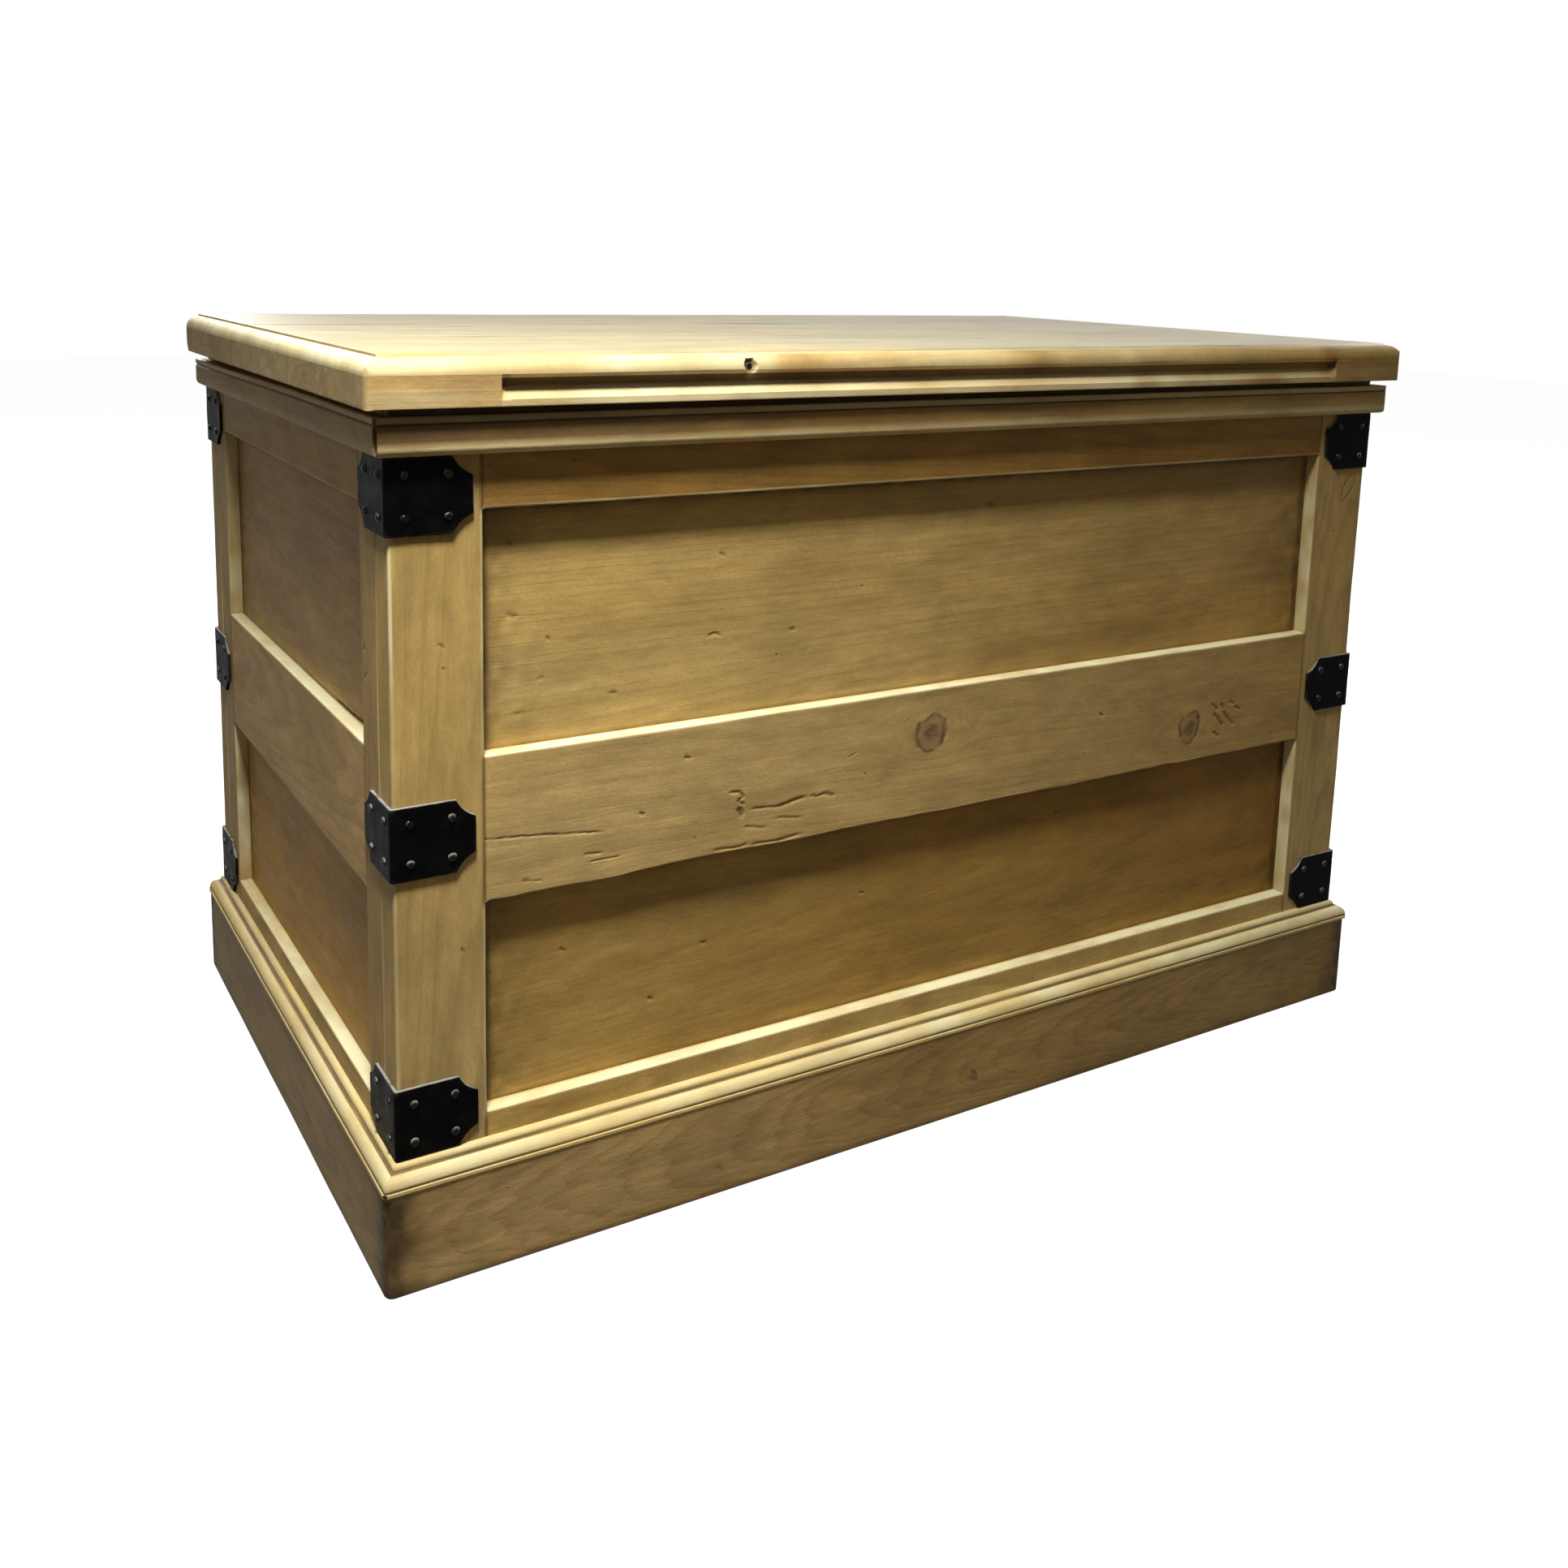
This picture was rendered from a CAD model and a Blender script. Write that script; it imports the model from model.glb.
"""Looks of a panelled pine trunk: waxed boards with worn edges, iron corner straps and a soft studio."""

import itertools
import math
import zlib

import bpy
import numpy as np
from mathutils import Matrix, Vector


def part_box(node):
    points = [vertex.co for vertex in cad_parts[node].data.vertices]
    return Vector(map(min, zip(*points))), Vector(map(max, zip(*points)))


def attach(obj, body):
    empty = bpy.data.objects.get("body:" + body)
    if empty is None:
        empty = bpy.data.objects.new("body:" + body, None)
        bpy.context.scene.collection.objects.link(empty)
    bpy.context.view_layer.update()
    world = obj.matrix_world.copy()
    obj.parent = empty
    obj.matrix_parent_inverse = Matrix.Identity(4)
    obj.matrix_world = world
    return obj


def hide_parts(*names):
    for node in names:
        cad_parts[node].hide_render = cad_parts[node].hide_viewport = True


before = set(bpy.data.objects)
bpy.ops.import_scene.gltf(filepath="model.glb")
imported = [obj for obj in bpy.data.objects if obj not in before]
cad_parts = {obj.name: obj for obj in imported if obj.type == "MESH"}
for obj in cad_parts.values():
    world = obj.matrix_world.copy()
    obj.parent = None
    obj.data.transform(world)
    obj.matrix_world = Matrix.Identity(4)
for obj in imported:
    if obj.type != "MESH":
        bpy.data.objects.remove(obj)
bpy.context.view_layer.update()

# Sizes in millimetres, as in the part's source
MM = 0.001
BODY_W, BODY_D, FRAME_T = 940.0, 560.0, 28.0
FRONT_Y, BACK_Y = -278.4, 281.6
STILE_W, SIDE_STILE_W = 64.0, 36.0
FOOT, LOWER_0, LOWER_1, UPPER_0, UPPER_1, RIM = 10.0, 113.0, 269.0, 374.0, 544.0, 613.0
FRONT_RECESS, SIDE_RECESS, PANEL_T = 13.0, 11.0, 9.0
GROOVE, PANEL_HOLD = 9.0, 7.5
COLLAR_0, COLLAR_1, COLLAR_OUT = 582.0, 606.0, 11.0
PLINTH_H, PLINTH_T, PLINTH_R = 77.0, 14.0, 7.0
LID_HALF, LID_Y, LID_Z, LID_TOP = 488.0, -296.4, 613.3, 647.3
LID_R, LID_QUIRK = 11.0, 1.5
SHOULDER = LID_TOP - LID_QUIRK - LID_R
SEAM_1, SEAM_2 = -100.4, 87.6
PULL_R, PULL_Z, PULL_HALF = 7.0, 625.3, 399.0
HINGE_INSET, BEVEL = 6.0, math.radians(50)
HINGE_X, HINGE_LEAF, HINGE_ROOM = 300.0, 38.2, 40.3
LEAF_W, LEAF_T, KNUCKLE_R = 18.2, 2.5, 4.9
STRAP_Z = (120.4, 321.5, 555.5)
STRAP_LEAF, STRAP_H, STRAP_T = 57.0, 52.0, 2.5
CLIP_W, CLIP_H, CLIP_R = 14.0, 13.0, 24.0
NAIL_X, NAIL_ROW, NAIL_R, NAIL_H = (11.0, 40.0), 14.0, 3.0, 1.8
STRAY_X, STRAY_Z = -214.0, 637.3

# The dressed collar is taller than the solid one, for the photograph's thin dark line under the lid, but
# not at the back, where the open lid swings past it
COLLAR_LIFT = 2.0
# How far the wear of an edge reaches from it
ARRIS = 1.6
# Steps of a nail's dome, as shares of its radius and height, and the sides of each
NAIL_STEPS = [(1.0, -0.1), (1.0, 0.12), (0.93, 0.38), (0.78, 0.66), (0.55, 0.86), (0.28, 0.97)]
NAIL_SIDES = 18

# Each wall: its start, the way along it, the way inward, and its length
WALLS = {
    "front": ((-BODY_W / 2, FRONT_Y), (1, 0), (0, 1), BODY_W),
    "back": ((BODY_W / 2, BACK_Y), (-1, 0), (0, -1), BODY_W),
    "left": ((-BODY_W / 2, BACK_Y), (0, -1), (1, 0), BODY_D),
    "right": ((BODY_W / 2, FRONT_Y), (0, 1), (-1, 0), BODY_D),
}
LONG_WALLS = ("front", "back")
SEEN_WALLS = ("front", "left")
CELL = {wall: 4.0 if wall in SEEN_WALLS else 8.0 for wall in WALLS}
STILES = {
    "front": ("front_left_stile", "front_right_stile"),
    "back": ("back_right_stile", "back_left_stile"),
    "left": ("left_back_stile", "left_front_stile"),
    "right": ("right_front_stile", "right_back_stile"),
}
CORNERS = ("front_left", "front_right", "back_left", "back_right")

# Marks placed by eye after the photograph, in each wall's own millimetres along and up

# Knots: along, up and radius
KNOTS = {
    "front_middle_rail": [(441, 336, 19), (732, 301, 17)],
    "plinth_front": [(490, 32, 5)],
}
# Scars: a line, its half width, depth and darkness
SCARS = {
    "front_middle_rail": [
        ([(257, 317), (264, 316), (267, 312), (263, 309), (267, 306)], 1.0, 0.8, 0.7),
        ([(264, 302), (266, 298)], 2.0, 1.0, 0.8),
        ([(276, 301), (290, 300), (299, 299)], 0.8, 0.7, 0.7),
        ([(299, 299), (316, 302), (321, 303)], 1.2, 0.9, 0.8),
        ([(328, 303), (333, 301), (340, 303), (347, 300)], 0.9, 0.8, 0.7),
        ([(270, 288), (286, 284)], 0.8, 0.5, 0.5),
        ([(298, 290), (318, 287)], 0.8, 0.5, 0.5),
        ([(64, 314.5), (101, 311), (150, 305)], 0.55, 0.6, 0.60),
        ([(244, 273), (262, 271.5), (270, 272.5)], 1.3, 0.7, 0.15),
        ([(278, 272), (300, 271), (316, 273)], 1.4, 0.8, 0.12),
        ([(138, 290), (150, 289)], 0.6, 0.5, 0.5),
        ([(143, 284), (165, 284)], 0.6, 0.5, 0.5),
        ([(92, 279), (104, 277)], 0.6, 0.4, 0.4),
        ([(760, 319), (766, 314)], 1.2, 0.8, 0.75),
        ([(776, 310), (781, 303)], 1.3, 0.8, 0.8),
        ([(789, 313), (796, 310)], 1.1, 0.8, 0.7),
        ([(768, 305), (774, 298)], 1.3, 0.8, 0.8),
        ([(771, 318), (775, 314)], 1.2, 0.7, 0.7),
        ([(763, 309), (767, 306)], 1.2, 0.7, 0.7),
        ([(782, 319), (787, 316)], 1.1, 0.7, 0.6),
        ([(783, 301), (788, 297)], 1.1, 0.8, 0.7),
        ([(764, 292), (770, 288)], 1.1, 0.8, 0.7),
        ([(622, 329), (625, 327)], 1.0, 0.7, 0.8),
        ([(182, 313), (184, 312)], 1.2, 0.7, 0.7),
        ([(429, 327), (426, 336), (429, 346)], 1.5, 0.4, 0.8),
        ([(452, 326), (456, 336), (454, 346)], 1.4, 0.4, 0.7),
        ([(722, 294), (719.5, 302), (723, 310)], 1.4, 0.4, 0.8),
        ([(741, 292), (744, 300), (742, 309)], 1.3, 0.4, 0.7),
        ([(360, 328), (368, 331)], 0.7, 0.3, 0.25),
        ([(218, 350), (221, 349)], 1.0, 0.5, 0.7),
    ],
    "front_upper_panel": [
        ([(87, 467), (90, 465.5), (92, 466)], 1.5, 0.6, 0.30),
        ([(243, 436.5), (247, 437.5), (251, 436)], 1.4, 0.6, 0.40),
        ([(164, 402.5), (167, 402)], 1.4, 0.5, 0.45),
        ([(115, 448.5), (116, 447)], 1.2, 0.5, 0.60),
        ([(86, 518), (88, 517)], 1.6, 0.7, 0.5),
        ([(313, 433.5), (316, 433)], 1.1, 0.5, 0.45),
        ([(108, 419), (111, 420)], 1.3, 0.3, 0.15),
        ([(498, 519), (503, 519)], 1.5, 0.6, 0.6),
        ([(251, 497), (253, 496)], 1.3, 0.5, 0.45),
        ([(92, 396), (95, 397)], 1.2, 0.3, 0.15),
    ],
    "front_lower_panel": [
        ([(588, 241), (591, 240)], 1.2, 0.5, 0.5),
        ([(196, 161), (198, 160)], 1.4, 0.8, 0.6),
        ([(125, 216), (128, 214)], 1.3, 0.6, 0.5),
        ([(240, 196), (243, 195)], 1.4, 0.6, 0.6),
        ([(385, 207), (389, 206)], 1.1, 0.5, 0.4),
    ],
    "front_right_stile": [
        ([(911, 500), (914, 511), (921, 521), (928, 524), (930, 517), (924, 506), (916, 499), (911, 500)],
         1.0, 0.3, 0.5),
        ([(905, 470), (907, 468)], 1.2, 0.4, 0.4),
    ],
    "front_left_stile": [
        ([(34, 455), (36, 453)], 1.1, 0.4, 0.4),
        ([(47, 238), (48, 236)], 1.1, 0.4, 0.4),
    ],
    "left_upper_panel": [
        ([(390, 374.6), (450, 375.4), (497, 376.2)], 1.3, 1.5, 1.0),
        ([(435, 375.2), (497, 377)], 2.2, 2.0, 1.0),
    ],
    "left_front_stile": [
        ([(499, 441), (505, 445), (511, 437), (509, 427), (503, 423)], 1.0, 0.3, 0.35),
    ],
    "plinth_front": [
        ([(84, 13), (87, 13)], 1.6, 1.4, 0.95),
        ([(243, 22), (245, 22)], 1.5, 1.2, 0.9),
        ([(20, 62), (24, 61)], 1.2, 0.8, 0.6),
    ],
}
# Lean of the log and the place of its heart behind the face: across, deep
LOGS = {
    "plinth_front": (0.075, (6, 46)),
    "plinth_left": (-0.06, (-8, 60)),
    "front_upper_panel": (0.03, (-120, 90)),
    "front_lower_panel": (-0.05, (30, 70)),
    "front_middle_rail": (0.03, (70, 95)),
    "lid_front_board": (0.02, (40, -90)),
    "lid_middle_board": (0.03, (-30, -80)),
}
# How plainly a board's year rings show
FIGURE = {
    "front_upper_panel": 0.17, "front_middle_rail": 0.13, "front_lower_panel": 0.17,
    "left_upper_panel": 0.18, "left_lower_panel": 0.18, "front_left_stile": 0.22,
    "plinth_front": 0.36, "plinth_left": 0.32, "lid_front_board": 0.34,
}
# What a board's red, green and blue gain or lose
TINT = {
    "front_top_rail": (-0.22, -0.33, -0.46),
    "front_upper_panel": (0.03, 0.05, 0.10),
    "front_middle_rail": (0.02, 0.04, 0.20),
    "front_lower_panel": (-0.13, -0.12, -0.10),
    "front_left_stile": (-0.12, -0.08, 0.08),
    "front_right_stile": (0.06, 0.09, 0.28),
    "left_top_rail": (-0.10, -0.14, -0.08),
    "left_upper_panel": (-0.06, -0.14, -0.10),
    "left_middle_rail": (0.08, 0.05, 0.16),
    "left_lower_panel": (0.06, -0.10, -0.40),
    "left_front_stile": (-0.14, -0.15, -0.16),
    "left_back_stile": (-0.10, -0.12, -0.12),
    "collar": (-0.14, -0.16, -0.10),
    "collar_shade": (-0.54, -0.56, -0.56),
    "cap": (0.16, 0.20, 0.18),
    "plinth": (-0.13, -0.12, 0.05),
    "plinth_left": (-0.28, -0.27, -0.10),
    "lid": (0.04, 0.08, 0.16),
    "lid_middle_board": (0.03, 0.03, 0.03),
    "lid_back_board": (-0.04, -0.05, -0.07),
    "lid_scrubbed": (-0.25, -0.15, 0.02),
    "lid_round": (-0.10, -0.16, -0.28),
    "lid_end": (-0.13, -0.14, -0.02),
    "lid_face": (-0.12, -0.19, -0.18),
    "lid_brown": (-0.3375, -0.45, -0.5625),
    "lid_stain": (0.02, -0.06, -0.75),
}
# What the tint gains from one end of its wall to the other
DRIFT = {
    "front_upper_panel": (-0.20, -0.28, -0.36),
    "front_middle_rail": (-0.16, -0.22, -0.36),
    "front_lower_panel": (-0.28, -0.44, -0.70),
    "plinth_front": (-0.20, -0.25, -0.38),
}


# Mesh helpers

def seeded(name):
    return np.random.default_rng(zlib.crc32(name.encode()))


def noise(points, size, seed):
    """Smooth noise from -1 to 1 at points, with features about size long."""
    at = np.asarray(points, float) / size + seed * 17.31 + 1000.0
    cell = np.floor(at).astype(np.int64)
    part = at - cell
    part = part * part * (3 - 2 * part)
    total = np.zeros(len(at))
    for corner in np.ndindex(2, 2, 2):
        mixed = (cell + corner) * np.array([73856093, 19349663, 83492791])
        mixed = mixed[:, 0] ^ mixed[:, 1] ^ mixed[:, 2]
        mixed = ((mixed ^ (mixed >> 13)) * 1274126177) & 0xFFFFFFFF
        value = ((mixed ^ (mixed >> 16)) & 0xFFFF) / 32767.5 - 1
        total += value * np.prod(np.abs(1 - np.array(corner) - part), axis=1)
    return total


def bell(distance, width):
    return np.exp(-(distance / width) ** 2)


def lines(start, stop, radius, cell, extra=()):
    """Grid lines from start to stop, close together over edges of a radius."""
    ease = np.array([0, 0.35, 0.7]) * radius
    count = max(1, round((stop - start - 2 * radius) / cell))
    middle = np.linspace(start + radius, stop - radius, count + 1)
    beside = [start + radius + 1.1, stop - radius - 1.1] if stop - start > 3 * cell else []
    found = np.concatenate([start + ease, middle, stop - ease, beside, np.asarray(extra, float)])
    found = np.unique(np.round(found, 4))
    return found[np.concatenate([[True], np.diff(found) > 1e-3])]


def close_lines(name, axis, step, longest):
    """Grid lines that resolve a board's scars along or up its face, unless a scar is too long there."""
    found = []
    for points, half, *_ in SCARS.get(name, ()):
        at = [p[axis] for p in points]
        low, high = min(at) - 2 * half, max(at) + 2 * half
        if high - low < longest:
            found += list(np.round(np.arange(low, high, step) / step) * step)
    return found


def merged(*rows, digits=3):
    """Grid lines of several kinds in one row."""
    return np.unique(np.round(np.concatenate(rows), digits))


def sheet(index):
    """Quads over a grid of point numbers."""
    return np.stack([index[:-1, :-1], index[1:, :-1], index[1:, 1:], index[:-1, 1:]], -1).reshape(-1, 4)


def lattice(*grid):
    """Points and quads of a box's surface whose grid lines are given for each axis."""
    counts = [len(row) for row in grid]
    shell = np.zeros(counts, bool)
    for axis in range(3):
        ends = [slice(None)] * 3
        ends[axis] = [0, -1]
        shell[tuple(ends)] = True
    index = np.full(counts, -1)
    index[shell] = np.arange(shell.sum())
    points = np.stack(np.meshgrid(*grid, indexing="ij"), -1)[shell]
    quads = []
    for axis in range(3):
        for end in (0, counts[axis] - 1):
            face = sheet(np.take(index, end, axis=axis))
            quads.append(face[:, ::-1] if (end == 0) != (axis == 1) else face)
    return points, np.concatenate(quads)


def slab(outer, inner):
    """Points and quads of the solid between two grids of points, outer being seen from outside."""
    points = np.concatenate([outer.reshape(-1, 3), inner.reshape(-1, 3)])
    near = np.arange(len(points) // 2).reshape(outer.shape[:2])
    far = near + near.size

    def band(a, b):
        return np.stack([a[:-1], b[:-1], b[1:], a[1:]], -1)
    quads = [
        sheet(near), sheet(far)[:, ::-1],
        band(near[:, 0], far[:, 0]), band(far[:, -1], near[:, -1]),
        band(far[0], near[0]), band(near[-1], far[-1]),
    ]
    return points, np.concatenate(quads)


def joined(parts):
    """One list of points and faces from several."""
    points, faces, total = [], [], 0
    for part_points, part_faces in parts:
        points.append(part_points)
        faces += [[total + v for v in face] for face in part_faces]
        total += len(part_points)
    return np.concatenate(points), faces


def round_off(points, low, high, radius):
    """Rounds the edges of a box by a radius given for each point. Returns points and normals."""
    radius = radius[:, None]
    inner = np.clip(points, low + radius, high - radius)
    away = points - inner
    normal = away / np.linalg.norm(away, axis=1)[:, None]
    return inner + normal * radius, normal


def arc(x, z, radius, start, stop, count):
    turn = np.radians(np.linspace(start, stop, count))
    return [(x + radius * math.cos(t), z + radius * math.sin(t)) for t in turn]


def place(points, wall):
    """From a wall's own axes, along, inward and up, to the trunk's."""
    if wall is None:
        return points
    start, along, inward, _ = WALLS[wall]
    flat = np.array(start) + points[:, :1] * np.array(along) + points[:, 1:2] * np.array(inward)
    return np.column_stack([flat, points[:, 2]])


def piece(name, points, faces, material, body, slot, fields, sharp):
    """Makes an object from points in millimetres that stands for the CAD node of its name."""
    mesh = bpy.data.meshes.new(name)
    mesh.from_pydata((points * MM).tolist(), [], [list(f) for f in faces])
    mesh.polygons.foreach_set("use_smooth", np.ones(len(mesh.polygons), bool))
    mesh.set_sharp_from_angle(angle=math.radians(sharp))
    for key, values in fields.items():
        values = np.asarray(values, np.float32)
        wide = values.ndim == 2
        data = mesh.attributes.new(key, "FLOAT_VECTOR" if wide else "FLOAT", "POINT").data
        data.foreach_set("vector" if wide else "value", values.ravel())
    mesh.materials.append(material)
    obj = bpy.data.objects.new(name, mesh)
    bpy.context.scene.collection.objects.link(obj)
    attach(obj, body)
    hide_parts(name)
    return obj


def ease_edges(obj, width, angle):
    bevel = obj.modifiers.new("eased", "BEVEL")
    bevel.width = width
    bevel.segments = 2
    bevel.limit_method = "ANGLE"
    bevel.angle_limit = math.radians(angle)
    return bevel


# Wood

WEAR, GRIME, MARK = 0, 1, 2


def to_line(at, points):
    """Distance of each row from a line through points."""
    best = np.full(len(at), 1e9)
    for start, stop in itertools.pairwise(np.array(points, float)):
        way = stop - start
        share = np.clip((at - start) @ way / max(way @ way, 1e-9), 0, 1)
        best = np.minimum(best, np.linalg.norm(at - start - share[:, None] * way, axis=1))
    return best


class Board:
    """A piece of wood in its wall's axes, with its own random draws and its wear, grime and marks."""

    def __init__(self, name, wall, points, faces):
        self.name = name
        self.wall = wall
        self.points = points
        self.faces = faces
        self.rng = seeded(name)
        self.state = np.zeros((len(points), 3))

    def cloud(self, size):
        """Smooth noise of the board's own, with features about size long."""
        return noise(self.points, size, self.rng.uniform(0, 9))

    def soil(self, kind, where, amount):
        """Raises the wear, grime or marks of some of the points to an amount."""
        self.state[:, kind] = np.maximum(self.state[:, kind], np.where(where, amount, 0))

    def soil_behind_collar(self):
        if self.wall != "back":
            self.soil(GRIME, (self.points[:, 2] > COLLAR_1 - 3) & (self.points[:, 1] < 4), 0.9)

    def scar(self, where):
        """Marks the board's scars where they can be, and returns their depth."""
        at = self.points[:, [0, 2]]
        flat = np.column_stack([at, 0 * at[:, 0]])
        ragged = 1 + 0.35 * noise(flat, 5.0, 3) + 0.40 * noise(flat, 2.0, 8)
        deep = np.zeros(len(at))
        for points, half, depth, tone in SCARS.get(self.name, ()):
            far = to_line(at, points) / (half * ragged)
            deep = np.maximum(deep, depth * np.exp(-far ** 2))
            self.soil(MARK, where, tone * np.exp(-(far * 0.9) ** 2))
        return np.where(where, deep, 0)

    def knot(self, where):
        """From 1 in the heart of a knot to 0 at its rim and beyond."""
        found = np.zeros(len(self.points))
        for x, z, radius in KNOTS.get(self.name, ()):
            along, up = self.points[:, 0] - x, self.points[:, 2] - z
            along, up = 0.92 * along - 0.38 * up, 0.38 * along + 0.92 * up
            uneven = 1 + 0.16 * noise(self.points, 0.6 * radius, x % 7)
            far = np.hypot(along * 1.35, up) / (radius * uneven)
            found = np.maximum(found, np.clip(1 - far, 0, 1))
        return found * where

    def grain(self, along, lateral, depth):
        """Coordinates in the log for three axes: metres along it, then across it from its heart."""
        rng = seeded(self.name)
        points = self.points
        slope, pith = LOGS.get(self.name, (None, None))
        middle = (points.min(0) + points.max(0)) / 2
        width = np.ptp(points[:, lateral])
        heart = pith or (rng.uniform(-0.5, 0.5) * width, rng.choice([-1, 1]) * rng.uniform(35, 120))
        lean = rng.uniform(-0.07, 0.07) if slope is None else slope
        run = points[:, along] - middle[along]
        across = points[:, lateral] - middle[lateral] - heart[0]
        deep = points[:, depth] - middle[depth] - heart[1] + lean * run
        for x, z, radius in KNOTS.get(self.name, ()):
            far = np.hypot(points[:, along] - x, (points[:, lateral] - z) * 1.5)
            deep = deep + 1.5 * radius * bell(far, 1.6 * radius)
        return np.column_stack([run * MM + rng.uniform(1, 9), across * MM, deep * MM])

    def tone(self, kind=None):
        """The board's tint, which drifts from one end of its wall to the other."""
        start = np.array(TINT.get(self.name, TINT.get(kind, (0, 0, 0))))
        return start + np.array(DRIFT.get(self.name, (0, 0, 0))) * self.points[:, :1] / WALLS[self.wall][3]

    def face_tone(self):
        """The tint of a frame piece, which fades out from its face inward."""
        return self.tone() * np.clip((12 - self.points[:, 1:2]) / 6, 0, 1)

    def make(self, shaped, grain, slot, body="carcass", sharp=40, tint=(0, 0, 0), raw=0.0, **fields):
        """Makes the piece from its shaped points, with the fields that its material reads."""
        count = len(shaped)
        fields["grain"] = grain
        fields["state"] = self.state
        fields["tint"] = np.broadcast_to(np.asarray(tint, float), (count, 3))
        fields["raw"] = np.broadcast_to(raw, count)
        fields["figure"] = np.full(count, FIGURE.get(self.name, 0.30))
        piece(self.name, place(shaped, self.wall), self.faces, PINE, body, slot, fields, sharp)


# Materials

class Shader:
    """The nodes of a material or world, built with short calls."""

    def __init__(self, owner):
        owner.use_nodes = True
        self.owner = owner
        self.nodes = owner.node_tree.nodes
        self.links = owner.node_tree.links
        self.nodes.clear()

    def put(self, socket, value):
        if isinstance(value, bpy.types.NodeSocket):
            self.links.new(value, socket)
        else:
            socket.default_value = value

    def add(self, kind, inputs=None, **settings):
        node = self.nodes.new("ShaderNode" + kind)
        for key, value in settings.items():
            setattr(node, key, value)
        for key, value in (inputs or {}).items():
            self.put(node.inputs[key], value)
        return node

    def read(self, attribute, output="Fac"):
        return self.add("Attribute", attribute_name=attribute).outputs[output]

    def math(self, kind, a, b=0.0, c=0.0):
        return self.add("Math", {0: a, 1: b, 2: c}, operation=kind).outputs[0]

    def times(self, a, b):
        return self.math("MULTIPLY", a, b)

    def gain(self, value, factor, start):
        return self.math("MULTIPLY_ADD", value, factor, start)

    def vector(self, kind, a, b=(0, 0, 0)):
        node = self.add("VectorMath", {0: a, 1: b}, operation=kind)
        return node.outputs["Value" if kind == "LENGTH" else "Vector"]

    def scaled(self, vector, factors):
        return self.vector("MULTIPLY", vector, factors)

    def inside(self, factors):
        return self.scaled(self.add("TexCoord").outputs["Object"], factors)

    def noise(self, vector, detail=2.0, rough=0.5, output=0):
        inputs = {"Vector": vector, "Scale": 1.0, "Detail": detail, "Roughness": rough}
        return self.add("TexNoise", inputs).outputs[output]

    def steps(self, value, low, high, to_low=0.0, to_high=1.0):
        inputs = {0: value, 1: low, 2: high, 3: to_low, 4: to_high}
        return self.add("MapRange", inputs, interpolation_type="SMOOTHSTEP").outputs[0]

    def ramp(self, value, stops):
        node = self.add("ValToRGB", {0: value})
        band = node.color_ramp.elements
        while len(band) < len(stops):
            band.new(0.5)
        for element, (at, level) in zip(band, stops):
            element.position = at
            element.color = (level, level, level, 1)
        return node.outputs[0]

    def mix(self, factor, a, b, kind="MIX"):
        inputs = {0: factor, 6: a, 7: b}
        return self.add("Mix", inputs, data_type="RGBA", blend_type=kind, clamp_factor=True).outputs[2]

    def tinted(self, colour, by):
        return self.mix(1.0, colour, by, "MULTIPLY")

    def bump(self, strength, distance, height):
        return self.add("Bump", {"Strength": strength, "Distance": distance, "Height": height}).outputs[0]

    def finish(self, **inputs):
        names = {key.replace("_", " "): value for key, value in inputs.items()}
        shade = self.add("BsdfPrincipled", names)
        self.add("OutputMaterial", {"Surface": shade.outputs[0]})
        return self.owner


def rgb(r, g, b):
    return (r, g, b, 1.0)


EARLY_WOOD = rgb(0.452, 0.312, 0.106)
LATE_WOOD = rgb(0.230, 0.132, 0.036)
BLOTCH = rgb(0.225, 0.130, 0.036)
KNOT_RIM = rgb(0.090, 0.054, 0.024)
KNOT_RING = rgb(0.225, 0.142, 0.060)
KNOT_HEART = rgb(0.105, 0.064, 0.030)
DIRT = rgb(0.048, 0.029, 0.012)
RUBBED = rgb(0.680, 0.620, 0.370)
PIT = rgb(0.060, 0.034, 0.015)
# What amber patches and bare wood do to the waxed colour
AMBER = rgb(0.97, 0.88, 0.66)
BARE = rgb(1.12, 1.26, 1.75)
WAX_SHINE = 0.15
JAPAN = rgb(0.0014, 0.0014, 0.0016)
DULL_JAPAN = rgb(0.0040, 0.0038, 0.0034)
BARE_IRON = rgb(0.240, 0.225, 0.200)
BRIGHT_STEEL = rgb(0.42, 0.40, 0.37)
SPOTTED_STEEL = rgb(0.17, 0.13, 0.10)


def year_rings(tree, grain):
    """Late wood of the rings round the heart of a log that wanders a little."""
    def wander(stretch, detail, reach):
        loose = tree.noise(tree.scaled(grain, stretch), detail, output="Color")
        return tree.scaled(tree.vector("SUBTRACT", loose, (0.5, 0.5, 0.5)), (0.0, reach, reach))
    log = tree.vector("ADD", grain, wander((1.3, 7.0, 7.0), 1.5, 0.030))
    log = tree.vector("ADD", log, wander((4.0, 70.0, 70.0), 2.0, 0.0055))
    out = tree.vector("LENGTH", tree.scaled(log, (0.0, 1.0, 1.0)))
    inputs = {"W": tree.times(out, 60.0), "Scale": 1.0}
    uneven = tree.add("TexNoise", inputs, noise_dimensions="1D").outputs[0]
    year = tree.math("FRACT", tree.gain(out, 190.0, tree.times(uneven, 2.0)))
    return tree.ramp(year, [(0.0, 0.0), (0.55, 0.15), (0.86, 0.80), (0.95, 1.0), (1.0, 0.0)])


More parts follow.
